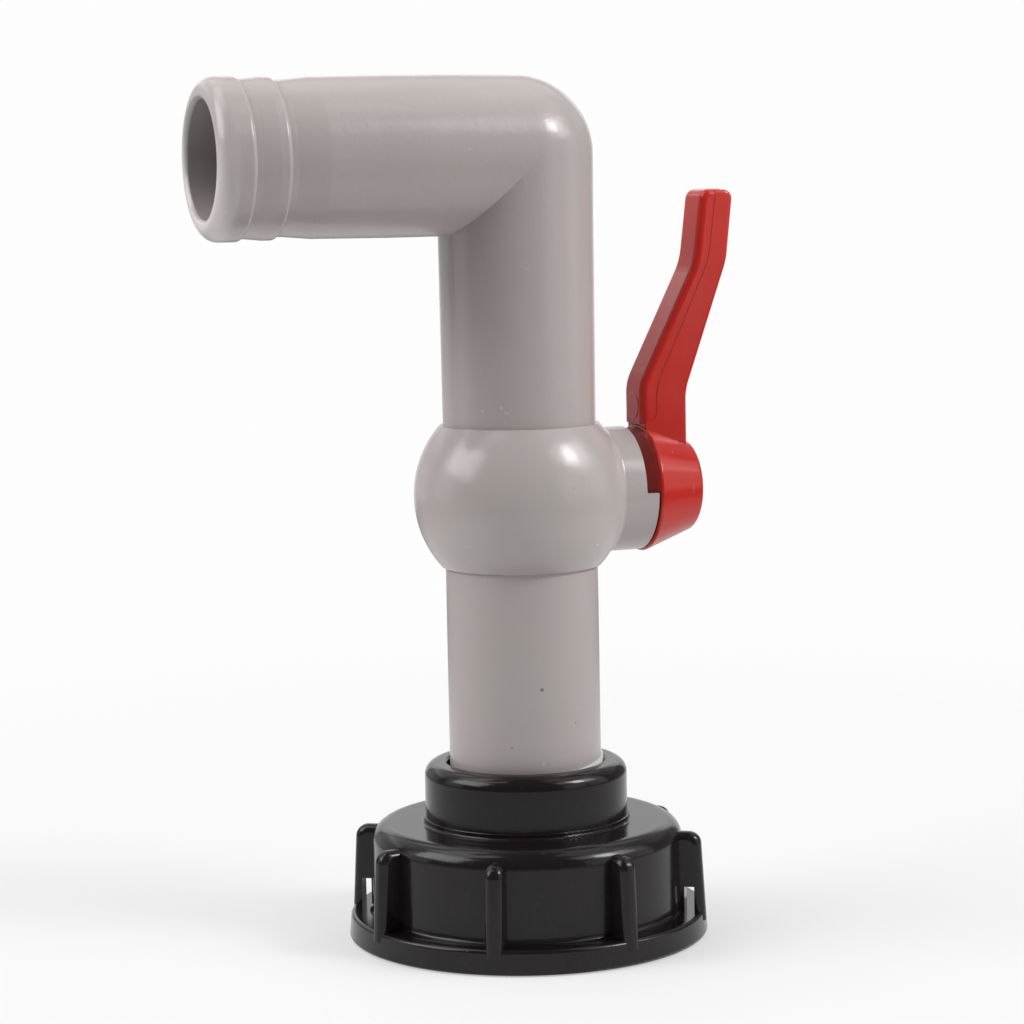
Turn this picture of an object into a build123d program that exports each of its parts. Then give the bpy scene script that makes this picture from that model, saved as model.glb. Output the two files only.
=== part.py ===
from build123d import *
import os
from math import cos, radians, sin

os.makedirs("parts", exist_ok=True)

# ---------------------------------------------------------------------------
# Driving dimensions, millimetres.
# Frame: origin at the centre of the open mouth of the coupling cap, +Z up the
# riser, +X along the stem towards the handle, -X towards the spout.
# ---------------------------------------------------------------------------

# coupling cap
flange_r = 40.0            # rim of the bottom flange
flange_r_top = 39.5
flange_t = 5.5
skirt_r = 34.6
skirt_r_top = 34.4
cap_top = 25.4             # flat top of the cap
shoulder_r = 4.2           # round between skirt and top
neck_base_r = 22.95        # low ring at the foot of the neck
neck_base_h = 1.3
neck_r = 22.5
neck_r_top = 22.45
neck_top = 38.8
neck_round = 3.0
neck_mouth_r = 17.5        # plain mouth around the pipe
neck_mouth_z = 36.4

# grip ribs of the cap
rib_count = 8
rib_phase = 13.0           # angle of the first rib from +X
rib_t = 4.0
rib_r_low = 40.1
rib_r_top = 39.0
rib_top = 23.2
rib_round = 2.8
rib_edge_round = 1.7
slot_angle = -32.0         # the rib with a seal-wire slot, and the one opposite
slot_r = 36.6
slot_w = 2.2
slot_z = 5.5
slot_h = 5.6

# tank thread, S60 x 6 coarse buttress
tank_pitch = 6.0
tank_root_r = 30.4
tank_crest_r = 27.9
tank_mouth_r = 31.2        # plain lead-in at the mouth
tank_mouth_len = 4.2
tank_lead_chamfer = 0.5
tank_start_z = 7.3
tank_rise = 9.6
seat_z = 21.0              # gasket seat inside the cap

# gasket
gasket_r_in = 18.5
gasket_r_out = 29.3
gasket_t = 3.0

# one-inch pipe thread between neck and pipe
pipe_pitch = 2.309
pipe_core_r = 15.2
pipe_crest_r = 16.55
pipe_start_z = 25.2
pipe_rise = 8.5
pipe_end_z = 23.5
thread_gap = 0.12

# riser pipe and spout
pipe_r = 16.8
bore_r = 12.5
mouth_bore_r = 12.6
mouth_lip_r = 13.4        # where the lip of the spout slopes in to the bore
mouth_lip_depth = 0.7
pipe_shoulder_z = 36.7
valve_z = 98.0             # centre of the ball
spout_z = 172.3            # axis of the spout
elbow_r = 17.15
spout_r = 17.32
spout_end = 70.5
barb_r = 17.35

# thread tape
tape_t = 0.4
tape_gap = 0.05
tape_high = 40.2           # loose end of the tape, above the neck
tape_low = 35.6
tape_angle = 5.0

# valve body
body_r = 23.5
body_half = 15.6           # half height between the two pipe sockets
socket_r = 16.86
chamber_r = 16.6
socket_depth = 5.4
boss_r = 13.8
boss_end = 27.4            # raised stop rim, lower half
boss_cut = 24.5            # lowered rim, upper half
boss_well_in = 9.0
boss_well_out = 11.3
boss_well_floor = 21.5
stem_tube_end = 27.0
stem_bore_r = 6.06
stem_pocket_r = 8.2
stem_pocket_end = 19.6

# ball and seats
ball_r = 16.3
ball_bore_r = 11.0
ball_slot_w = 5.0
ball_slot_floor = 12.4
seat_gap = 0.1
seat_r_in = 11.6
seat_r_out = 14.5
seat_front = 9.4           # measured from the ball centre
seat_back = 13.0
seat_pocket_r = 14.6
seat_pocket_end = 14.2
seat_ring_section = 0.58
seat_ring_mid_r = 13.2

# stem
stem_r = 6.0
stem_collar_r = 7.9
stem_collar_0 = 16.4
stem_collar_1 = 18.78
stem_tang_w = 12.0
stem_tang_t = 4.8
stem_tang_end = 12.6
stem_square = 8.4
stem_square_0 = 27.0
stem_end = 34.4
groove_w = 1.9
groove_floor_r = 4.4
groove_1 = 21.9
groove_2 = 25.0
o_ring_section = 0.74
o_ring_mid_r = 5.2
washer_r_in = 6.15
washer_r_out = 8.05

# handle
hub_0 = 27.8               # face of the hub next to the boss
hub_r = 14.4
hub_end = 40.0
hub_end_r = 9.9
hub_round = 1.6
hub_well_in = 8.4
hub_well_floor = 33.5
lug_r_in = 11.5
lug_r_out = 13.9           # at the hub, sloping in towards the boss
lug_r_tip = 11.9
lug_0 = 24.8
lug_play = 0.8             # degrees left free at each stop
socket_square = 8.5
socket_end = 34.6
lever_in = 27.2            # face of the lever root towards the riser
lever_foot = 112.4         # where that face ends, just outside the hub
lever_out = 38.15
lever_half = 5.0           # half width of the outer part of the lever
lever_round = 0.9
lever_half_in = 4.90       # half width of the part towards the riser
lever_in_round = 1.5
lever_part = 30.9          # X of the parting line at the root
lever_top = 163.9
mark_r = 2.95              # round ejector mark on the lever
mark_z = 116.3
mark_height = 0.18

# screw and washer that hold the handle on the stem
screw_r = 2.0
screw_hole_r = 2.05
screw_tip = 22.4
screw_well_r = 5.0
screw_well_floor = 36.4
screw_washer_r = 4.6
screw_washer_t = 0.8
screw_head_r = 3.9
screw_head_h = 2.6


def near(sketch, x, y):
    """The vertex of a sketch that lies nearest to a point of its plane."""
    return sketch.vertices().sort_by_distance(Vector(x, y, 0))[0]


stem_axis = Axis((0, 0, valve_z), (1, 0, 0))
spout_axis = Axis((0, 0, spout_z), (1, 0, 0))
# local x is X and local y is Z, with the origin on the stem or spout axis
stem_plane = Plane(origin=(0, 0, valve_z), x_dir=(1, 0, 0), z_dir=(0, -1, 0))
spout_plane = Plane(origin=(0, 0, spout_z), x_dir=(1, 0, 0), z_dir=(0, -1, 0))


# section of the stop lug, just off upright on the -Y side
lug_plane = Plane(
    origin=(0, 0, valve_z),
    x_dir=(1, 0, 0),
    z_dir=(0, -cos(radians(lug_play)), -sin(radians(lug_play))),
)


def across(x):
    """Plane square to the stem at X: local x is Y, local y is Z."""
    return Plane(origin=(x, 0, valve_z), x_dir=(0, 1, 0), z_dir=(1, 0, 0))


# ---------------------------------------------------------------------------
# Coupling cap
# ---------------------------------------------------------------------------

with BuildPart() as rib:
    with BuildSketch(Plane.XZ) as rib_outline:
        with BuildLine():
            Polyline(
                (32.0, flange_t - 2.0),
                (rib_r_low, flange_t - 2.0),
                (rib_r_top, rib_top),
                (30.6, rib_top),
                close=True,
            )
        make_face()
        fillet(near(rib_outline, rib_r_top, rib_top), rib_round)
    extrude(amount=rib_t / 2, both=True)
    rib_edges = rib.edges().filter_by(
        lambda e: abs(abs(e.center().Y) - rib_t / 2) < 1e-6
        and e.center().X > 32.2
        and e.center().Z > flange_t - 1.9
    )
    fillet(rib_edges, rib_edge_round)

# ridge of the tank thread: steep flank up, sloping flank towards the mouth
with BuildPart() as tank_thread:
    with BuildLine() as tank_helix:
        Helix(tank_pitch, tank_rise, tank_crest_r, center=(0, 0, tank_start_z))
    with BuildSketch(
        Plane(
            origin=tank_helix.line @ 0,
            x_dir=(1, 0, 0),
            z_dir=tank_helix.line % 0,
        )
    ):
        with BuildLine():
            Polyline((0, -0.7), (2.8, -0.9), (2.8, 2.5), (0, 0.35), close=True)
        make_face()
    sweep(is_frenet=True)

# groove of the pipe thread inside the neck
with BuildPart() as neck_groove:
    with BuildLine() as neck_helix:
        Helix(
            pipe_pitch,
            pipe_rise + 2 * pipe_pitch,
            pipe_core_r,
            center=(0, 0, pipe_start_z - pipe_pitch),
        )
    with BuildSketch(
        Plane(
            origin=neck_helix.line @ 0,
            x_dir=(1, 0, 0),
            z_dir=neck_helix.line % 0,
        )
    ):
        with BuildLine():
            Polyline((-0.3, -1.12), (1.5, -0.36), (1.5, 0.36), (-0.3, 1.12), close=True)
        make_face()
    sweep(is_frenet=True)

with BuildPart() as coupling_cap:
    # flange, skirt, shoulder and neck turned about the riser axis
    with BuildSketch(Plane.XZ) as cap_outline:
        with BuildLine():
            Polyline(
                (0, 0),
                (flange_r, 0),
                (flange_r_top, flange_t),
                (skirt_r, flange_t),
                (skirt_r_top, cap_top),
                (neck_base_r, cap_top),
                (neck_base_r, cap_top + neck_base_h),
                (neck_r, cap_top + neck_base_h),
                (neck_r_top, neck_top),
                (0, neck_top),
                close=True,
            )
        make_face()
        fillet(near(cap_outline, flange_r, 0), 0.7)
        fillet(near(cap_outline, flange_r_top, flange_t), 0.9)
        fillet(near(cap_outline, skirt_r, flange_t), 0.8)
        fillet(near(cap_outline, skirt_r_top, cap_top), shoulder_r)
        fillet(near(cap_outline, neck_base_r, cap_top), 0.5)
        fillet(near(cap_outline, neck_base_r, cap_top + neck_base_h), 0.25)
        fillet(near(cap_outline, neck_r_top, neck_top), neck_round)
    revolve(axis=Axis.Z)
    with PolarLocations(0, rib_count, start_angle=rib_phase):
        add(rib.part)
    # slots for a seal wire through two opposite ribs
    with BuildSketch(Plane.XY.offset(slot_z)):
        with PolarLocations(slot_r, 2, start_angle=slot_angle):
            Rectangle(slot_w, 8)
    extrude(amount=slot_h, mode=Mode.SUBTRACT)
    # hollow: plain mouth, thread root, gasket seat, pipe thread, neck mouth
    with BuildSketch(Plane.XZ) as cap_hollow:
        with BuildLine():
            Polyline(
                (0, -1),
                (tank_mouth_r + tank_lead_chamfer + 1, -1),
                (tank_mouth_r, tank_lead_chamfer),
                (tank_mouth_r, tank_mouth_len),
                (tank_root_r, tank_mouth_len + 0.6),
                (tank_root_r, seat_z),
                (pipe_core_r + thread_gap + 0.9, seat_z),
                (pipe_core_r + thread_gap, seat_z + 0.9),
                (pipe_core_r + thread_gap, neck_mouth_z),
                (neck_mouth_r, neck_mouth_z),
                (neck_mouth_r, neck_top - 0.4),
                (neck_mouth_r + 0.4, neck_top),
                (neck_mouth_r + 0.4, neck_top + 1),
                (0, neck_top + 1),
                close=True,
            )
        make_face()
        fillet(near(cap_hollow, tank_root_r, seat_z), 0.8)
    revolve(axis=Axis.Z, mode=Mode.SUBTRACT)
    add(neck_groove.part, mode=Mode.SUBTRACT)
    add(tank_thread.part)
coupling_cap.part.label = "coupling_cap"

with BuildPart() as cap_gasket:
    with BuildSketch(Plane.XZ) as gasket_section:
        with Locations(((gasket_r_in + gasket_r_out) / 2, seat_z - gasket_t / 2)):
            Rectangle(gasket_r_out - gasket_r_in, gasket_t)
        fillet(gasket_section.vertices(), 0.5)
    revolve(axis=Axis.Z)
cap_gasket.part.label = "cap_gasket"

# ---------------------------------------------------------------------------
# Inlet pipe and thread tape
# ---------------------------------------------------------------------------

with BuildPart() as pipe_thread:
    with BuildLine() as pipe_helix:
        Helix(pipe_pitch, pipe_rise, pipe_core_r, center=(0, 0, pipe_start_z))
    with BuildSketch(
        Plane(
            origin=pipe_helix.line @ 0,
            x_dir=(1, 0, 0),
            z_dir=pipe_helix.line % 0,
        )
    ):
        with BuildLine():
            Polyline((-0.3, -0.95), (1.35, -0.25), (1.35, 0.25), (-0.3, 0.95), close=True)
        make_face()
    sweep(is_frenet=True)

with BuildPart() as inlet_pipe:
    with BuildSketch(Plane.XZ):
        with BuildLine():
            Polyline(
                (bore_r, pipe_end_z),
                (pipe_core_r - 0.8, pipe_end_z),
                (pipe_core_r, pipe_end_z + 0.8),
                (pipe_core_r, pipe_shoulder_z),
                (pipe_r, pipe_shoulder_z),
                (pipe_r, valve_z - body_half + socket_depth),
                (seat_pocket_r, valve_z - body_half + socket_depth),
                (seat_pocket_r, valve_z - seat_pocket_end),
                (bore_r, valve_z - seat_pocket_end),
                close=True,
            )
        make_face()
    revolve(axis=Axis.Z)
    add(pipe_thread.part)
inlet_pipe.part.label = "inlet_pipe"

# tape wound on the pipe thread, its upper edge slanting out of the neck mouth
with BuildPart() as thread_seal_tape:
    with BuildSketch(Plane.XY.offset(pipe_shoulder_z + 0.1)):
        Circle(pipe_r + tape_gap + tape_t)
        Circle(pipe_r + tape_gap, mode=Mode.SUBTRACT)
    extrude(amount=6)
    tilt = (tape_high - tape_low) / (2 * (pipe_r + tape_t))
    split(
        bisect_by=Plane(
            origin=(0, 0, (tape_high + tape_low) / 2),
            z_dir=Vector(-tilt, 0, 1).rotate(Axis.Z, tape_angle),
        ),
        keep=Keep.BOTTOM,
    )
thread_seal_tape.part.label = "thread_seal_tape"

# ---------------------------------------------------------------------------
# Valve body
# ---------------------------------------------------------------------------

with BuildPart(Plane.XY.offset(valve_z)) as valve_body:
    Sphere(body_r)
    Box(80, 80, 2 * body_half, mode=Mode.INTERSECT)
    # stem boss
    with BuildSketch(across(0)):
        Circle(boss_r)
    extrude(amount=boss_end)
    foot = valve_body.edges().filter_by(
        lambda e: 15 < e.center().X < 22 and e.geom_type == GeomType.CIRCLE
    )
    fillet(foot, 1.4)
    # lowered half of the rim, where the stop lug of the handle travels
    with BuildSketch(across(boss_cut)):
        Circle(boss_r + 2)
        Circle(boss_well_out, mode=Mode.SUBTRACT)
        Rectangle(50, 30, align=(Align.CENTER, Align.MIN), mode=Mode.INTERSECT)
    extrude(amount=6, mode=Mode.SUBTRACT)
    # well between rim and stem tube
    with BuildSketch(across(boss_well_floor)):
        Circle(boss_well_out)
        Circle(boss_well_in, mode=Mode.SUBTRACT)
    extrude(amount=8, mode=Mode.SUBTRACT)
    with BuildSketch(across(stem_tube_end)):
        Circle(boss_well_in + 0.5)
    extrude(amount=8, mode=Mode.SUBTRACT)
    # ball chamber with a pipe socket at each end
    with BuildSketch(Plane.XY.offset(valve_z - 30)):
        Circle(chamber_r)
    extrude(amount=60, mode=Mode.SUBTRACT)
    with BuildSketch(Plane.XY.offset(valve_z + body_half - socket_depth)):
        Circle(socket_r)
    extrude(amount=20, mode=Mode.SUBTRACT)
    with BuildSketch(Plane.XY.offset(valve_z - body_half + socket_depth)):
        Circle(socket_r)
    extrude(amount=-20, mode=Mode.SUBTRACT)
    # stem collar pocket and stem bore
    with BuildSketch(across(5)):
        Circle(stem_pocket_r)
    extrude(amount=stem_pocket_end - 5, mode=Mode.SUBTRACT)
    with BuildSketch(across(5)):
        Circle(stem_bore_r)
    extrude(amount=40, mode=Mode.SUBTRACT)
valve_body.part.label = "valve_body"

# ---------------------------------------------------------------------------
# Outlet elbow with hose barb
# ---------------------------------------------------------------------------

with BuildPart() as outlet_elbow:
    # riser, slightly wider towards the elbow
    with BuildSketch(Plane.XZ):
        with BuildLine():
            Polyline(
                (0, valve_z + body_half - socket_depth),
                (pipe_r, valve_z + body_half - socket_depth),
                (pipe_r, valve_z + body_half),
                (elbow_r - 0.13, spout_z - 14),
                (elbow_r, spout_z),
                (0, spout_z),
                close=True,
            )
        make_face()
    revolve(axis=Axis.Z)
    with Locations((0, 0, spout_z)):
        Sphere(elbow_r)
    # spout, neck-in and two barb rings
    with BuildSketch(spout_plane) as spout_section:
        with BuildLine():
            Polyline(
                (0, 0),
                (0, elbow_r),
                (-14, spout_r),
                (-30, spout_r),
                (-46.8, spout_r - 0.2),
                (-53.6, 16.5),
                (-55.05, 16.5),
                (-55.5, 17.2),
                (-57.6, 17.2),
                (-61.4, 16.8),
                (-62.7, 16.75),
                (-63.15, barb_r),
                (-spout_end, barb_r),
                (-spout_end, 0),
                close=True,
            )
        make_face()
        fillet(near(spout_section, -spout_end, barb_r), 3.5)
        fillet(near(spout_section, -46.8, spout_r - 0.2), 6.0)
        fillet(near(spout_section, -55.5, 17.2), 1.0)
        fillet(near(spout_section, -57.6, 17.2), 3.0)
        fillet(near(spout_section, -63.15, barb_r), 1.1)
    revolve(axis=spout_axis)
    # bore round the bend
    with BuildSketch(Plane.XY.offset(valve_z)):
        Circle(bore_r)
    extrude(amount=spout_z - valve_z, mode=Mode.SUBTRACT)
    with Locations((0, 0, spout_z)):
        Sphere(bore_r, mode=Mode.SUBTRACT)
    with BuildSketch(Plane(origin=(0, 0, spout_z), x_dir=(0, 1, 0), z_dir=(-1, 0, 0))):
        Circle(bore_r)
    extrude(amount=spout_end + 5, mode=Mode.SUBTRACT)
    # mouth of the spout, a little wider than the bore, with a lip that slopes in
    lip_slope = (mouth_lip_r - mouth_bore_r) / mouth_lip_depth
    with BuildSketch(spout_plane) as mouth_section:
        with BuildLine():
            Polyline(
                (-spout_end + 7, 0),
                (-spout_end + 7, bore_r),
                (-spout_end + mouth_lip_depth, mouth_bore_r),
                (-spout_end - 1, mouth_lip_r + lip_slope),
                (-spout_end - 1, 0),
                close=True,
            )
        make_face()
        fillet(near(mouth_section, -spout_end + mouth_lip_depth, mouth_bore_r), 0.4)
    revolve(axis=spout_axis, mode=Mode.SUBTRACT)
    # seat pocket at the end inside the body
    with BuildSketch(Plane.XY.offset(valve_z)):
        Circle(seat_pocket_r)
    extrude(amount=seat_pocket_end, mode=Mode.SUBTRACT)
    lip = outlet_elbow.edges().filter_by(
        lambda e: e.geom_type == GeomType.CIRCLE
        and abs(e.center().X + spout_end) < 0.01
        and abs(e.radius - mouth_lip_r) < 0.01
    )
    fillet(lip, 0.9)
outlet_elbow.part.label = "outlet_elbow"

# ---------------------------------------------------------------------------
# Ball, seats and the rings behind them
# ---------------------------------------------------------------------------

with BuildPart(Plane.XY.offset(valve_z)) as ball:
    Sphere(ball_r)
    Cylinder(ball_bore_r, 60, mode=Mode.SUBTRACT)
    # slot for the stem tang, square to the bore
    with BuildSketch(across(ball_slot_floor)):
        Rectangle(60, ball_slot_w)
    extrude(amount=10, mode=Mode.SUBTRACT)
ball.part.label = "ball"

with BuildPart() as inlet_seat_ring:
    with BuildSketch(Plane.XZ):
        with Locations(
            ((seat_r_in + seat_r_out) / 2, valve_z - (seat_front + seat_back) / 2)
        ):
            Rectangle(seat_r_out - seat_r_in, seat_back - seat_front)
        with Locations((0, valve_z)):
            Circle(ball_r + seat_gap, mode=Mode.SUBTRACT)
    revolve(axis=Axis.Z)
inlet_seat_ring.part.label = "inlet_seat_ring"

with BuildPart() as outlet_seat_ring:
    with BuildSketch(Plane.XZ):
        with Locations(
            ((seat_r_in + seat_r_out) / 2, valve_z + (seat_front + seat_back) / 2)
        ):
            Rectangle(seat_r_out - seat_r_in, seat_back - seat_front)
        with Locations((0, valve_z)):
            Circle(ball_r + seat_gap, mode=Mode.SUBTRACT)
    revolve(axis=Axis.Z)
outlet_seat_ring.part.label = "outlet_seat_ring"

with BuildPart() as inlet_seat_o_ring:
    with BuildSketch(Plane.XZ):
        with Locations((seat_ring_mid_r, valve_z - (seat_back + seat_pocket_end) / 2)):
            Circle(seat_ring_section)
    revolve(axis=Axis.Z)
inlet_seat_o_ring.part.label = "inlet_seat_o_ring"

with BuildPart() as outlet_seat_o_ring:
    with BuildSketch(Plane.XZ):
        with Locations((seat_ring_mid_r, valve_z + (seat_back + seat_pocket_end) / 2)):
            Circle(seat_ring_section)
    revolve(axis=Axis.Z)
outlet_seat_o_ring.part.label = "outlet_seat_o_ring"

# ---------------------------------------------------------------------------
# Stem, its washer and its two rings
# ---------------------------------------------------------------------------

with BuildPart() as stem:
    with BuildSketch(stem_plane):
        with BuildLine():
            Polyline(
                (stem_collar_0, 0),
                (stem_collar_0, stem_collar_r),
                (stem_collar_1, stem_collar_r),
                (stem_collar_1, stem_r),
                (groove_1 - groove_w / 2, stem_r),
                (groove_1 - groove_w / 2, groove_floor_r),
                (groove_1 + groove_w / 2, groove_floor_r),
                (groove_1 + groove_w / 2, stem_r),
                (groove_2 - groove_w / 2, stem_r),
                (groove_2 - groove_w / 2, groove_floor_r),
                (groove_2 + groove_w / 2, groove_floor_r),
                (groove_2 + groove_w / 2, stem_r),
                (stem_square_0, stem_r),
                (stem_square_0, 0),
                close=True,
            )
        make_face()
    revolve(axis=stem_axis)
    with BuildSketch(across(stem_square_0)) as square_end:
        Rectangle(stem_square, stem_square)
        chamfer(square_end.vertices(), 0.5)
    extrude(amount=stem_end - stem_square_0)
    with BuildSketch(across(stem_tang_end)):
        Rectangle(stem_tang_w, stem_tang_t)
    extrude(amount=stem_collar_0 - stem_tang_end)
    with BuildSketch(across(stem_end)):
        Circle(screw_hole_r)
    extrude(amount=-(stem_end - screw_tip + 0.6), mode=Mode.SUBTRACT)
stem.part.label = "stem"

with BuildPart() as stem_thrust_washer:
    with BuildSketch(across(stem_collar_1 + 0.02)):
        Circle(washer_r_out)
        Circle(washer_r_in, mode=Mode.SUBTRACT)
    extrude(amount=stem_pocket_end - stem_collar_1 - 0.04)
stem_thrust_washer.part.label = "stem_thrust_washer"

with BuildPart() as stem_o_ring_inner:
    with BuildSketch(stem_plane):
        with Locations((groove_1, o_ring_mid_r)):
            Circle(o_ring_section)
    revolve(axis=stem_axis)
stem_o_ring_inner.part.label = "stem_o_ring_inner"

with BuildPart() as stem_o_ring_outer:
    with BuildSketch(stem_plane):
        with Locations((groove_2, o_ring_mid_r)):
            Circle(o_ring_section)
    revolve(axis=stem_axis)
stem_o_ring_outer.part.label = "stem_o_ring_outer"

# ---------------------------------------------------------------------------
# Handle
# ---------------------------------------------------------------------------

# part of the lever towards the riser: cranked away from it, then upright again
with BuildPart() as lever_core:
    with BuildSketch(Plane.XZ) as core_outline:
        with BuildLine():
            Polyline(
                (hub_0 + 0.25, valve_z + 6),
                (hub_0 + 0.25, lever_foot),
                (lever_in, lever_foot),
                (lever_in, 121.4),
                (40.6, 148.0),
                (42.55, lever_top),
                (49.35, lever_top),
                (47.6, 148.2),
                (lever_out - 0.8, 119.8),
                (lever_out - 0.8, valve_z + 6),
                close=True,
            )
        make_face()
        fillet(near(core_outline, lever_in, 121.4), 10.0)
        fillet(near(core_outline, 40.6, 148.0), 16.0)
        fillet(near(core_outline, 47.6, 148.2), 16.0)
        fillet(near(core_outline, lever_out - 0.8, 119.8), 12.0)
        fillet(near(core_outline, 42.55, lever_top), 2.3)
        fillet(near(core_outline, 49.35, lever_top), 2.3)
    extrude(amount=lever_half_in, both=True)
    core_edges = lever_core.edges().filter_by(
        lambda e: abs(abs(e.center().Y) - lever_half_in) < 1e-4
        and e.center().Z > valve_z + 6.5
        and not (e.center().X < 28.2 and e.center().Z < lever_foot + 0.1)
    )
    fillet(core_edges, lever_in_round)

# outer part of the lever, a little wider; the step at its edge is the parting
# line, which runs out to the rim of the hub in a round
with BuildPart() as lever_back:
    with BuildSketch(Plane.XZ) as back_outline:
        with BuildLine():
            Polyline(
                (hub_0 + 0.4, valve_z + 5.5),
                (hub_0 + 0.4, lever_foot + 0.5),
                (lever_part, lever_foot + 0.5),
                (lever_part, 120.7),
                (43.9, 148.5),
                (45.85, lever_top - 0.15),
                (50.15, lever_top - 0.15),
                (48.4, 148.1),
                (lever_out, 119.6),
                (lever_out, valve_z + 5.5),
                close=True,
            )
        make_face()
        fillet(near(back_outline, lever_part, lever_foot + 0.5), 2.4)
        fillet(near(back_outline, lever_part, 120.7), 10.0)
        fillet(near(back_outline, 43.9, 148.5), 16.0)
        fillet(near(back_outline, 48.4, 148.1), 16.0)
        fillet(near(back_outline, lever_out, 119.6), 12.0)
        fillet(near(back_outline, 50.15, lever_top - 0.15), 2.0)
    extrude(amount=lever_half, both=True)
    back_edges = lever_back.edges().filter_by(
        lambda e: abs(abs(e.center().Y) - lever_half) < 1e-4
        and e.center().X > 34.5 + 0.36 * max(0, e.center().Z - 120)
    )
    fillet(back_edges, lever_round)

with BuildPart() as handle:
    # hub, a cone with a rounded end
    with BuildSketch(stem_plane) as hub_section:
        with BuildLine():
            Polyline(
                (hub_0, 0),
                (hub_0, hub_r),
                (hub_end, hub_end_r),
                (hub_end, 0),
                close=True,
            )
        make_face()
        fillet(near(hub_section, hub_0, hub_r), 0.5)
        fillet(near(hub_section, hub_end, hub_end_r), hub_round)
    revolve(axis=stem_axis)
    add(lever_core.part)
    add(lever_back.part)
    # hollow of the hub around the stem socket
    with BuildSketch(stem_plane):
        with BuildLine():
            Polyline(
                (hub_0 - 1, hub_well_in),
                (hub_0 - 1, hub_r - 1.9),
                (hub_well_floor, hub_r - 4.1),
                (hub_well_floor, hub_well_in),
                close=True,
            )
        make_face()
    revolve(axis=stem_axis, mode=Mode.SUBTRACT)
    # stop lug, a quarter ring that travels in the lowered half of the boss rim
    with BuildSketch(lug_plane):
        with BuildLine():
            Polyline(
                (lug_0, lug_r_in),
                (lug_0, lug_r_tip),
                (hub_0 + 0.6, lug_r_out),
                (hub_0 + 0.6, lug_r_in),
                close=True,
            )
        make_face()
    revolve(axis=stem_axis, revolution_arc=90 - 2 * lug_play)
    # square socket, screw hole and screw well
    with BuildSketch(across(hub_0 - 2)):
        Rectangle(socket_square, socket_square)
    extrude(amount=socket_end - hub_0 + 2, mode=Mode.SUBTRACT)
    with BuildSketch(across(hub_0)):
        Circle(screw_hole_r + 0.15)
    extrude(amount=20, mode=Mode.SUBTRACT)
    with BuildSketch(across(screw_well_floor)):
        Circle(screw_well_r)
    extrude(amount=20, mode=Mode.SUBTRACT)
    well_edge = handle.edges().filter_by(
        lambda e: e.geom_type == GeomType.CIRCLE
        and abs(e.center().X - hub_end) < 0.01
        and abs(e.radius - screw_well_r) < 0.01
    )
    chamfer(well_edge, 0.4)
    # round ejector mark on the face of the lever
    with BuildSketch(Plane(origin=(lever_in + 0.7, 0, mark_z), x_dir=(0, 1, 0), z_dir=(-1, 0, 0))):
        Circle(mark_r)
    extrude(amount=0.7 + mark_height)
handle.part.label = "handle"

# ---------------------------------------------------------------------------
# Handle screw and washer
# ---------------------------------------------------------------------------

with BuildPart() as handle_screw_washer:
    with BuildSketch(across(screw_well_floor)):
        Circle(screw_washer_r)
        Circle(screw_hole_r + 0.1, mode=Mode.SUBTRACT)
    extrude(amount=screw_washer_t)
handle_screw_washer.part.label = "handle_screw_washer"

with BuildPart() as handle_screw:
    with BuildSketch(stem_plane) as screw_section:
        head_0 = screw_well_floor + screw_washer_t
        with BuildLine():
            Polyline(
                (screw_tip, 0),
                (screw_tip + 1.2, screw_r),
                (head_0, screw_r),
                (head_0, screw_head_r),
                (head_0 + screw_head_h, screw_head_r),
                (head_0 + screw_head_h, 0),
                close=True,
            )
        make_face()
        fillet(near(screw_section, head_0 + screw_head_h, screw_head_r), 1.3)
    revolve(axis=stem_axis)
    # cross recess
    with BuildSketch(across(head_0 + screw_head_h)):
        Rectangle(4.4, 1.1)
        Rectangle(1.1, 4.4)
    extrude(amount=-1.6, taper=8, mode=Mode.SUBTRACT)
handle_screw.part.label = "handle_screw"

# ---------------------------------------------------------------------------
# One file per piece
# ---------------------------------------------------------------------------

export_step(coupling_cap.part, "parts/coupling_cap.step")
export_step(cap_gasket.part, "parts/cap_gasket.step")
export_step(thread_seal_tape.part, "parts/thread_seal_tape.step")
export_step(inlet_pipe.part, "parts/inlet_pipe.step")
export_step(inlet_seat_o_ring.part, "parts/inlet_seat_o_ring.step")
export_step(inlet_seat_ring.part, "parts/inlet_seat_ring.step")
export_step(ball.part, "parts/ball.step")
export_step(outlet_seat_ring.part, "parts/outlet_seat_ring.step")
export_step(outlet_seat_o_ring.part, "parts/outlet_seat_o_ring.step")
export_step(valve_body.part, "parts/valve_body.step")
export_step(outlet_elbow.part, "parts/outlet_elbow.step")
export_step(stem.part, "parts/stem.step")
export_step(stem_thrust_washer.part, "parts/stem_thrust_washer.step")
export_step(stem_o_ring_inner.part, "parts/stem_o_ring_inner.step")
export_step(stem_o_ring_outer.part, "parts/stem_o_ring_outer.step")
export_step(handle.part, "parts/handle.step")
export_step(handle_screw_washer.part, "parts/handle_screw_washer.step")
export_step(handle_screw.part, "parts/handle_screw.step")
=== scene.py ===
import math

import bpy
from mathutils import Matrix, Vector

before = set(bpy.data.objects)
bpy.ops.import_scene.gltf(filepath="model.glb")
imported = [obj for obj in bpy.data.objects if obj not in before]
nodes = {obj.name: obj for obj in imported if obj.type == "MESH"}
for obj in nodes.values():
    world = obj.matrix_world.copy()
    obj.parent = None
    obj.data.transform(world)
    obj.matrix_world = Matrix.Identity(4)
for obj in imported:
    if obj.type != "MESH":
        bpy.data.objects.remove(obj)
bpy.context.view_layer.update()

# ---------------------------------------------------------------------------
# Node helpers
# ---------------------------------------------------------------------------


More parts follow.
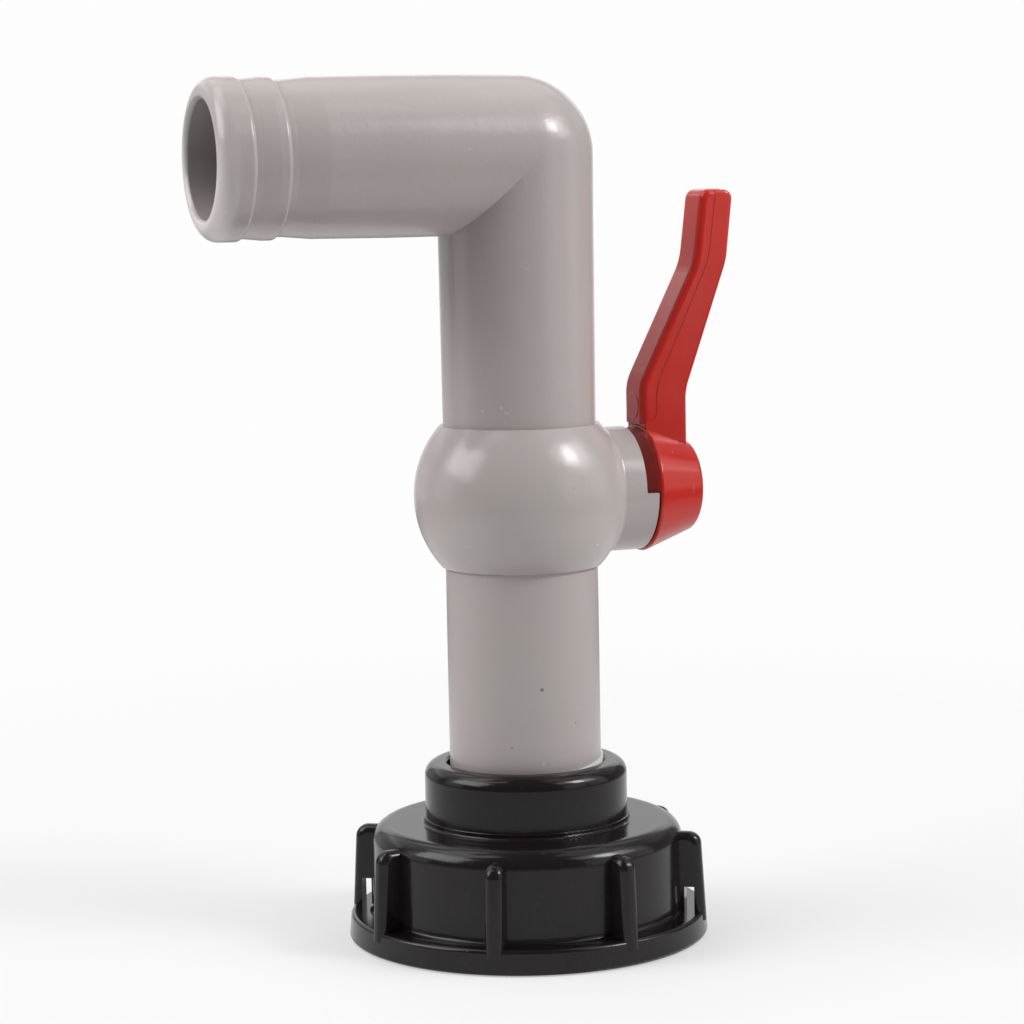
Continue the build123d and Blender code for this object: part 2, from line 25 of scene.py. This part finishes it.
class Mat:
    """A small wrapper that adds shader nodes and links them by name."""

    def __init__(self, name):
        self.m = bpy.data.materials.new(name)
        self.m.use_nodes = True
        self.t = self.m.node_tree
        self.b = self.t.nodes["Principled BSDF"]
        self.coord = self.add("ShaderNodeTexCoord").outputs["Object"]

    def add(self, kind, **props):
        n = self.t.nodes.new(kind)
        for k, v in props.items():
            setattr(n, k, v)
        return n

    def link(self, a, b):
        self.t.links.new(a, b)

    def put(self, socket, value):
        self.b.inputs[socket].default_value = value

    def mapped(self, scale=(1, 1, 1), rotation=(0, 0, 0), location=(0, 0, 0)):
        n = self.add("ShaderNodeMapping")
        n.inputs["Scale"].default_value = scale
        n.inputs["Rotation"].default_value = rotation
        n.inputs["Location"].default_value = location
        self.link(self.coord, n.inputs["Vector"])
        return n.outputs["Vector"]

    def noise(self, scale, detail=3.0, rough=0.55, vector=None, distortion=0.0):
        n = self.add("ShaderNodeTexNoise")
        n.inputs["Scale"].default_value = scale
        n.inputs["Detail"].default_value = detail
        n.inputs["Roughness"].default_value = rough
        n.inputs["Distortion"].default_value = distortion
        self.link(vector or self.coord, n.inputs["Vector"])
        return n.outputs["Fac"]

    def cells(self, scale, vector=None, feature="F1", randomness=1.0):
        n = self.add("ShaderNodeTexVoronoi", feature=feature)
        n.inputs["Scale"].default_value = scale
        n.inputs["Randomness"].default_value = randomness
        self.link(vector or self.coord, n.inputs["Vector"])
        return n

    def spot(self, point, size):
        """A small soft-edged round patch about a point, 1 at its middle."""
        n = self.add("ShaderNodeVectorMath", operation="DISTANCE")
        n.inputs[1].default_value = point
        self.link(self.coord, n.inputs[0])
        return self.span(n.outputs["Value"], 0.5 * size, size, 1.0, 0.0, "SMOOTHSTEP")

    def ramp(self, fac, stops):
        n = self.add("ShaderNodeValToRGB")
        e = n.color_ramp.elements
        while len(e) < len(stops):
            e.new(0.5)
        for i, (pos, col) in enumerate(stops):
            e[i].position = pos
            e[i].color = (*col, 1.0) if len(col) == 3 else col
        self.link(fac, n.inputs["Fac"])
        return n.outputs["Color"]

    def span(self, value, lo, hi, out_lo, out_hi, kind="LINEAR"):
        n = self.add("ShaderNodeMapRange", interpolation_type=kind)
        n.clamp = True
        for k, v in zip(("From Min", "From Max", "To Min", "To Max"), (lo, hi, out_lo, out_hi)):
            n.inputs[k].default_value = v
        self.link(value, n.inputs["Value"])
        return n.outputs["Result"]

    def math(self, op, a, b):
        n = self.add("ShaderNodeMath", operation=op)
        for i, v in enumerate((a, b)):
            if isinstance(v, (int, float)):
                n.inputs[i].default_value = v
            else:
                self.link(v, n.inputs[i])
        return n.outputs["Value"]

    def mix(self, fac, a, b, blend="MIX"):
        n = self.add("ShaderNodeMix", data_type="RGBA", blend_type=blend)
        if isinstance(fac, (int, float)):
            n.inputs[0].default_value = fac
        else:
            self.link(fac, n.inputs[0])
        for i, v in ((6, a), (7, b)):
            if isinstance(v, tuple):
                n.inputs[i].default_value = (*v, 1.0)
            else:
                self.link(v, n.inputs[i])
        return n.outputs[2]

    def bump(self, height, strength, distance, normal=None):
        n = self.add("ShaderNodeBump")
        n.inputs["Strength"].default_value = strength
        n.inputs["Distance"].default_value = distance
        self.link(height, n.inputs["Height"])
        if normal is not None:
            self.link(normal, n.inputs["Normal"])
        return n.outputs["Normal"]

    def to(self, socket, output):
        self.link(output, self.b.inputs[socket])


def show(node, mat):
    o = nodes[node]
    o.data.materials.clear()
    o.data.materials.append(mat.m)


# ---------------------------------------------------------------------------
# Moulded plastics
# ---------------------------------------------------------------------------


def grey_plastic(name, seed, specks=(), nicks=(), axis=None, peel=0.30, mouth=None, painted_shade_foot=None):
    """Satin moulded plastic: slow colour drift, fine speckle, faint handling marks.

    specks are dark inclusions and nicks pale dents, each a point and a radius in
    metres. axis gives the direction along which the moulding is faintly rippled,
    and peel the strength of its fine unevenness. mouth is the middle of an open
    end that faces -X, with the radius of its bore: the lip round it is painted
    pale as painted light, most of all below, and the bore is darkened inside as
    painted shade. foot, a painted shade, is a pair of heights between which the
    colour darkens slightly towards the lower one.
    """
    m = Mat(name)
    slow = m.noise(26.0, 3.0, 0.5, m.mapped(location=(seed, 0.3 * seed, 0)))
    base = m.ramp(
        slow,
        [
            (0.30, (0.444, 0.390, 0.382)),
            (0.50, (0.449, 0.404, 0.392)),
            (0.70, (0.452, 0.418, 0.400)),
        ],
    )
    fine = m.noise(900.0, 2.0, 0.6)
    base = m.mix(m.span(fine, 0.35, 0.7, 0.0, 0.05), base, (0.34, 0.32, 0.305))
    # sparse dark specks in the material
    dots = m.cells(210.0, m.mapped(location=(seed, seed, seed)))
    speck = m.span(dots.outputs["Distance"], 0.035, 0.075, 1.0, 0.0)
    some = m.span(m.noise(70.0, 1.0), 0.62, 0.66, 0.0, 1.0)
    base = m.mix(m.math("MULTIPLY", m.math("MULTIPLY", speck, some), 0.40), base, (0.15, 0.14, 0.13))
    for point, size in specks:
        base = m.mix(m.spot(point, size), base, (0.11, 0.10, 0.09))
    # pale scuffs and dents
    scuff = m.noise(85.0, 5.0, 0.75, m.mapped(scale=(1.0, 1.0, 2.6), rotation=(0.5, 0.3, seed)))
    scuff = m.span(scuff, 0.64, 0.76, 0.0, 1.0)
    for point, size in nicks:
        scuff = m.math("MAXIMUM", scuff, m.spot(point, size))
    base = m.mix(m.math("MULTIPLY", scuff, 0.18), base, (0.66, 0.64, 0.62))
    # painted shade: the colour darkens towards the lower of the two heights
    if painted_shade_foot is not None:
        part = m.add("ShaderNodeSeparateXYZ")
        m.link(m.coord, part.inputs[0])
        base = m.mix(m.span(part.outputs["Z"], *painted_shade_foot, 0.5, 0.0), base, (0.345, 0.310, 0.302))
    if mouth is not None:
        (x, y, z), bore = mouth
        part = m.add("ShaderNodeSeparateXYZ")
        m.link(m.coord, part.inputs[0])
        out = m.add("ShaderNodeVectorMath", operation="DISTANCE")
        out.inputs[1].default_value = (0.0, y, z)
        m.link(m.mapped(scale=(0, 1, 1)), out.inputs[0])
        end = m.span(part.outputs["X"], x + 0.0013, x + 0.0050, 1.0, 0.0, "SMOOTHSTEP")
        low = m.span(part.outputs["Z"], z - 0.010, z + 0.011, 0.80, 0.06, "SMOOTHSTEP")
        rim = m.span(out.outputs["Value"], bore, bore + 0.0006, 0.0, 1.0)
        # painted light: the lip round the bore is made paler near the end, most of all below
        painted_lip_light = m.math("MULTIPLY", m.math("MULTIPLY", end, low), rim)
        base = m.mix(painted_lip_light, base, (0.74, 0.69, 0.67))
        # painted shade: the bore is darkened inside, back from the mouth
        painted_bore_shade = m.span(out.outputs["Value"], bore, bore + 0.0003, 0.35, 0.0)
        painted_bore_shade = m.math("MULTIPLY", painted_bore_shade, m.span(part.outputs["X"], -0.012, -0.008, 1.0, 0.0))
        base = m.mix(painted_bore_shade, base, (0.24, 0.22, 0.21))
    m.to("Base Color", base)
    cloud = m.noise(60.0, 4.0, 0.6)
    rough = m.span(cloud, 0.3, 0.7, 0.19, 0.25)
    rough = m.math("ADD", rough, m.math("MULTIPLY", scuff, 0.14))
    m.to("Roughness", rough)
    normal = m.bump(m.noise(55.0, 2.0, 0.5), 0.45, 0.0005)
    if axis is not None:
        rings = m.noise(1.0, 3.0, 0.6, m.mapped(scale=axis))
        normal = m.bump(rings, 0.14, 0.0006, normal)
    m.to("Normal", m.bump(m.noise(620.0, 3.0, 0.65), peel, 0.0001, normal))
    m.put("IOR", 1.49)
    return m


def black_plastic(name):
    """Semi-gloss moulded black: faint grain, dusty film, small light nicks."""
    m = Mat(name)
    slow = m.noise(32.0, 3.0, 0.5)
    base = m.ramp(slow, [(0.3, (0.0080, 0.0059, 0.0064)), (0.7, (0.0104, 0.0080, 0.0086))])
    dust = m.noise(520.0, 4.0, 0.7)
    dust = m.span(dust, 0.60, 0.78, 0.0, 1.0)
    base = m.mix(m.math("MULTIPLY", dust, 0.05), base, (0.22, 0.21, 0.20))
    nick = m.cells(330.0)
    nick = m.span(nick.outputs["Distance"], 0.03, 0.06, 1.0, 0.0)
    some = m.span(m.noise(90.0, 1.0), 0.62, 0.66, 0.0, 1.0)
    base = m.mix(m.math("MULTIPLY", m.math("MULTIPLY", nick, some), 0.4), base, (0.25, 0.24, 0.23))
    m.to("Base Color", base)
    cloud = m.noise(75.0, 4.0, 0.6)
    rough = m.math("ADD", m.span(cloud, 0.3, 0.7, 0.13, 0.19), m.math("MULTIPLY", dust, 0.06))
    m.to("Roughness", rough)
    ripple = m.bump(m.noise(70.0, 2.0, 0.5), 0.18, 0.0005)
    m.to("Normal", m.bump(m.noise(1100.0, 2.0, 0.6), 0.12, 0.0001, ripple))
    m.put("IOR", 1.37)
    return m


def red_plastic(name):
    """Glossy moulded red with a slow shade drift and a few fine scratches; painted shade on the stop, a
    painted highlight round the ejector mark and painted light at the tip.
    """
    m = Mat(name)
    slow = m.noise(40.0, 3.0, 0.5)
    base = m.ramp(slow, [(0.3, (0.500, 0.0160, 0.0095)), (0.7, (0.545, 0.0200, 0.0120))])
    fine = m.noise(800.0, 2.0, 0.6)
    base = m.mix(m.span(fine, 0.4, 0.7, 0.0, 0.08), base, (0.36, 0.012, 0.014))
    line = m.noise(160.0, 3.0, 0.7, m.mapped(scale=(2.0, 2.0, 0.18), rotation=(0.25, 0.1, 0.0)))
    line = m.span(line, 0.66, 0.72, 0.0, 1.0)
    base = m.mix(m.math("MULTIPLY", line, 0.12), base, (0.72, 0.30, 0.28))
    # painted highlight: a pale ring on the edge of the round ejector mark
    away = m.add("ShaderNodeVectorMath", operation="DISTANCE")
    away.inputs[1].default_value = (0.0271, 0.0, 0.1163)
    m.link(m.coord, away.inputs[0])
    inner = m.span(away.outputs["Value"], 0.00250, 0.00285, 0.0, 1.0)
    outer = m.span(away.outputs["Value"], 0.00300, 0.00325, 1.0, 0.0)
    base = m.mix(m.math("MULTIPLY", m.math("MULTIPLY", inner, outer), 0.30), base, (0.80, 0.42, 0.42))
    # painted shade: the handle's stop between hub and boss is darkened, and it is dull
    part = m.add("ShaderNodeSeparateXYZ")
    m.link(m.coord, part.inputs[0])
    lug_painted_shade = m.math(
        "MULTIPLY",
        m.span(part.outputs["X"], 0.0273, 0.0277, 1.0, 0.0),
        m.span(part.outputs["Z"], 0.1119, 0.1122, 1.0, 0.0),
    )
    base = m.mix(m.math("MULTIPLY", lug_painted_shade, 0.75), base, (0.110, 0.006, 0.006))
    # painted light: paler towards the top of the handle's tip
    painted_tip_light = m.span(part.outputs["Z"], 0.140, 0.157, 0.0, 0.65, "SMOOTHSTEP")
    base = m.mix(painted_tip_light, base, (0.640, 0.0260, 0.0170))
    m.to("Base Color", base)
    cloud = m.noise(80.0, 4.0, 0.6)
    rough = m.math("ADD", m.span(cloud, 0.3, 0.7, 0.15, 0.21), m.math("MULTIPLY", line, 0.12))
    m.to("Roughness", m.math("ADD", rough, m.math("MULTIPLY", lug_painted_shade, 0.40)))
    ripple = m.bump(m.noise(75.0, 2.0, 0.5), 0.40, 0.0005)
    m.to("Normal", m.bump(fine, 0.14, 0.0001, ripple))
    m.put("IOR", 1.46)
    return m


def white_polymer(name, tint):
    """Waxy white polymer with faint turning marks."""
    m = Mat(name)
    slow = m.noise(120.0, 3.0, 0.5)
    lo = tuple(c * 0.93 for c in tint)
    m.to("Base Color", m.ramp(slow, [(0.3, lo), (0.7, tint)]))
    ring = m.noise(700.0, 2.0, 0.6)
    m.to("Roughness", m.span(ring, 0.3, 0.7, 0.38, 0.52))
    m.to("Normal", m.bump(ring, 0.08, 0.00015))
    m.put("Subsurface Weight", 0.15)
    m.put("Subsurface Scale", 0.001)
    return m


def tape(name):
    """Thin white thread tape, wrinkled along its turns."""
    m = Mat(name)
    band = m.noise(500.0, 3.0, 0.6, m.mapped(scale=(0.35, 0.35, 3.0)))
    m.to("Base Color", m.ramp(band, [(0.3, (0.74, 0.74, 0.72)), (0.7, (0.88, 0.88, 0.87))]))
    m.to("Roughness", m.span(band, 0.3, 0.7, 0.35, 0.55))
    m.to("Normal", m.bump(band, 0.5, 0.0003))
    return m


def rubber(name):
    """Matt black rubber with a dusty bloom."""
    m = Mat(name)
    bloom = m.noise(180.0, 4.0, 0.65)
    m.to("Base Color", m.ramp(bloom, [(0.35, (0.016, 0.016, 0.016)), (0.75, (0.034, 0.033, 0.032))]))
    grain = m.noise(1400.0, 2.0, 0.6)
    m.to("Roughness", m.span(bloom, 0.3, 0.7, 0.58, 0.74))
    m.to("Normal", m.bump(grain, 0.15, 0.0002))
    return m


def steel(name):
    """Zinc-plated steel with turning marks about the stem axis."""
    m = Mat(name)
    m.put("Metallic", 1.0)
    fine = m.noise(900.0, 3.0, 0.6, m.mapped(scale=(4.0, 1.0, 1.0)))
    m.to("Base Color", m.ramp(fine, [(0.3, (0.50, 0.50, 0.51)), (0.7, (0.66, 0.66, 0.66))]))
    m.to("Roughness", m.span(fine, 0.3, 0.7, 0.24, 0.40))
    m.to("Normal", m.bump(fine, 0.10, 0.0001))
    return m


pipe_specks = [
    ((-0.00227, -0.01665, 0.05705), 0.00050),
    ((-0.00863, -0.01441, 0.04446), 0.00026),
    ((0.00580, -0.01577, 0.04900), 0.00022),
]
pipe_nicks = [((-0.00210, -0.01667, 0.04070), 0.00070)]
elbow_nicks = [
    ((-0.00947, -0.01400, 0.11840), 0.00055),
    ((-0.00840, -0.01467, 0.11730), 0.00040),
    ((-0.01270, -0.01115, 0.11760), 0.00045),
    ((-0.01715, -0.01515, 0.18065), 0.00022),
    ((-0.01651, -0.01726, 0.17351), 0.00026),
]
mouth = ((-0.0705, 0.0, 0.1723), 0.01275)
show("inlet_pipe", grey_plastic("grey_pipe", 1.7, pipe_specks, pipe_nicks, painted_shade_foot=(0.038, 0.080)))
show("valve_body", grey_plastic("grey_body", 4.2))
show("outlet_elbow", grey_plastic("grey_elbow", 7.9, (), elbow_nicks, (150.0, 60.0, 60.0), 0.50, mouth))
show("coupling_cap", black_plastic("black_cap"))
show("handle", red_plastic("red_handle"))
show("thread_seal_tape", tape("white_tape"))
ptfe = white_polymer("seat_white", (0.84, 0.84, 0.82))
for n in ("inlet_seat_ring", "outlet_seat_ring", "stem_thrust_washer"):
    show(n, ptfe)
acetal = white_polymer("ball_ivory", (0.70, 0.69, 0.65))
for n in ("ball", "stem"):
    show(n, acetal)
seal = rubber("seal_rubber")
for n in ("cap_gasket", "inlet_seat_o_ring", "outlet_seat_o_ring", "stem_o_ring_inner", "stem_o_ring_outer"):
    show(n, seal)
plated = steel("plated_steel")
for n in ("handle_screw", "handle_screw_washer"):
    show(n, plated)

# ---------------------------------------------------------------------------
# Floor, light and camera
# ---------------------------------------------------------------------------


def floor():
    """Plain pale floor that thins out into the white surround."""
    me = bpy.data.meshes.new("floor")
    s = 12.0
    z = -0.0002
    me.from_pydata([(-s, -s, z), (s, -s, z), (s, s, z), (-s, s, z)], [], [(0, 1, 2, 3)])
    o = bpy.data.objects.new("floor", me)
    bpy.context.scene.collection.objects.link(o)
    m = Mat("floor_pale")
    m.to("Base Color", m.ramp(m.noise(3.0, 2.0), [(0.3, (0.40, 0.40, 0.40)), (0.7, (0.42, 0.42, 0.42))]))
    m.put("Roughness", 0.9)
    m.put("Specular IOR Level", 0.1)
    m.put("Emission Color", (1.0, 1.0, 1.0, 1.0))
    out = m.add("ShaderNodeVectorMath", operation="LENGTH")
    m.link(m.coord, out.inputs[0])
    m.put("Emission Strength", 0.42)
    m.to("Alpha", m.span(out.outputs["Value"], 0.07, 0.52, 1.0, 0.0, "SMOOTHERSTEP"))
    me.materials.append(m.m)


floor()

turn = Matrix.Rotation(math.radians(-21.0), 3, "Z")


def seen(x, y, z):
    """A point given across, away from and above the viewer, in the object's frame."""
    return turn @ Vector((x, y, z))


def softbox(name, az, el, far, size, power):
    """A soft panel that faces the object: az 0 right, 90 behind, 180 left, 270 at the viewer."""
    a, e = math.radians(az), math.radians(el)
    mid = Vector((0, 0, 0.10))
    away = seen(math.cos(e) * math.cos(a), math.cos(e) * math.sin(a), math.sin(e))
    d = bpy.data.lights.new(name, "AREA")
    d.shape = "RECTANGLE"
    d.size, d.size_y = size
    d.energy = power
    o = bpy.data.objects.new(name, d)
    o.location = mid + away * far
    o.rotation_euler = (-away).to_track_quat("-Z", "Y").to_euler()
    o.visible_camera = False
    bpy.context.scene.collection.objects.link(o)
    return o


PANELS = [
    ("left", 195, 33, 1.2, (0.85, 0.65), 7.6),
    ("left_core", 195, 31, 1.19, (0.50, 0.46), 0.6),
    ("left_back", 172, 33, 1.2, (0.5, 0.5), 0.43),
    ("left_low", 180, 10, 1.2, (0.6, 0.6), 0.85),
    ("left_top", 180, 62, 1.2, (0.8, 0.6), 3.6),
    ("key", 339.5, 37, 1.2, (0.27, 0.33), 5.2),
    ("key_inner", 325, 42, 1.2, (0.4, 0.4), 1.2),
    ("key_outer", 352, 33, 1.2, (0.4, 0.4), 2.1),
    ("right_top", 0, 62, 1.2, (0.8, 0.6), 1.4),
    ("right_high", 0, 35, 1.2, (0.6, 0.6), 1.15),
    ("right_low", 0, 10, 1.2, (0.6, 0.6), 0.9),
    ("right_front_low", 328, 10, 1.2, (0.6, 0.6), 1.0),
    ("back_low", 90, 8, 1.5, (1.4, 0.9), 2.7),
    ("back_mid", 90, 22, 1.4, (1.2, 0.5), 0.8),
    ("back_top", 90, 58, 1.2, (1.2, 0.8), 1.9),
    ("back_left_high", 135, 35, 1.2, (0.7, 0.7), 1.0),
    ("back_left_low", 135, 10, 1.2, (0.7, 0.7), 0.6),
    ("back_right_high", 45, 35, 1.2, (0.7, 0.7), 0.37),
]
for p in PANELS:
    softbox(*p)

world = bpy.data.worlds.new("studio")
world.use_nodes = True
wt = world.node_tree
bg = wt.nodes["Background"]
bg.inputs["Color"].default_value = (1.0, 1.0, 1.0, 1.0)
bg.inputs["Strength"].default_value = 0.175
plain = wt.nodes.new("ShaderNodeBackground")
plain.inputs["Color"].default_value = (1.0, 1.0, 1.0, 1.0)
plain.inputs["Strength"].default_value = 0.985
path = wt.nodes.new("ShaderNodeLightPath")
pick = wt.nodes.new("ShaderNodeMixShader")
wt.links.new(path.outputs["Is Camera Ray"], pick.inputs[0])
wt.links.new(bg.outputs[0], pick.inputs[1])
wt.links.new(plain.outputs[0], pick.inputs[2])
wt.links.new(pick.outputs[0], wt.nodes["World Output"].inputs["Surface"])
bpy.context.scene.world = world
bpy.context.scene.view_settings.view_transform = "Standard"

pitch, yaw, roll = math.radians(6.56), math.radians(-0.17), math.radians(-1.11)
fwd = Vector((math.sin(yaw) * math.cos(pitch), math.cos(yaw) * math.cos(pitch), -math.sin(pitch)))
right = Vector((math.cos(yaw), -math.sin(yaw), 0.0))
up = right.cross(fwd)
r2 = right * math.cos(roll) + up * math.sin(roll)
u2 = up * math.cos(roll) - right * math.sin(roll)
axes = [turn @ v for v in (r2, u2, -fwd)]
place = seen(0.0, -0.6569, 0.1696)
cam_data = bpy.data.cameras.new("camera")
cam_data.sensor_fit = "HORIZONTAL"
cam_data.sensor_width = 36.0
cam_data.lens = 36.0 * 3000.0 / 1024.0
cam_data.clip_start = 0.01
camera = bpy.data.objects.new("camera", cam_data)
m4 = Matrix.Identity(4)
for i, a in enumerate(axes):
    for k in range(3):
        m4[k][i] = a[k]
for k in range(3):
    m4[k][3] = place[k]
camera.matrix_world = m4
bpy.context.scene.collection.objects.link(camera)
bpy.context.scene.camera = camera
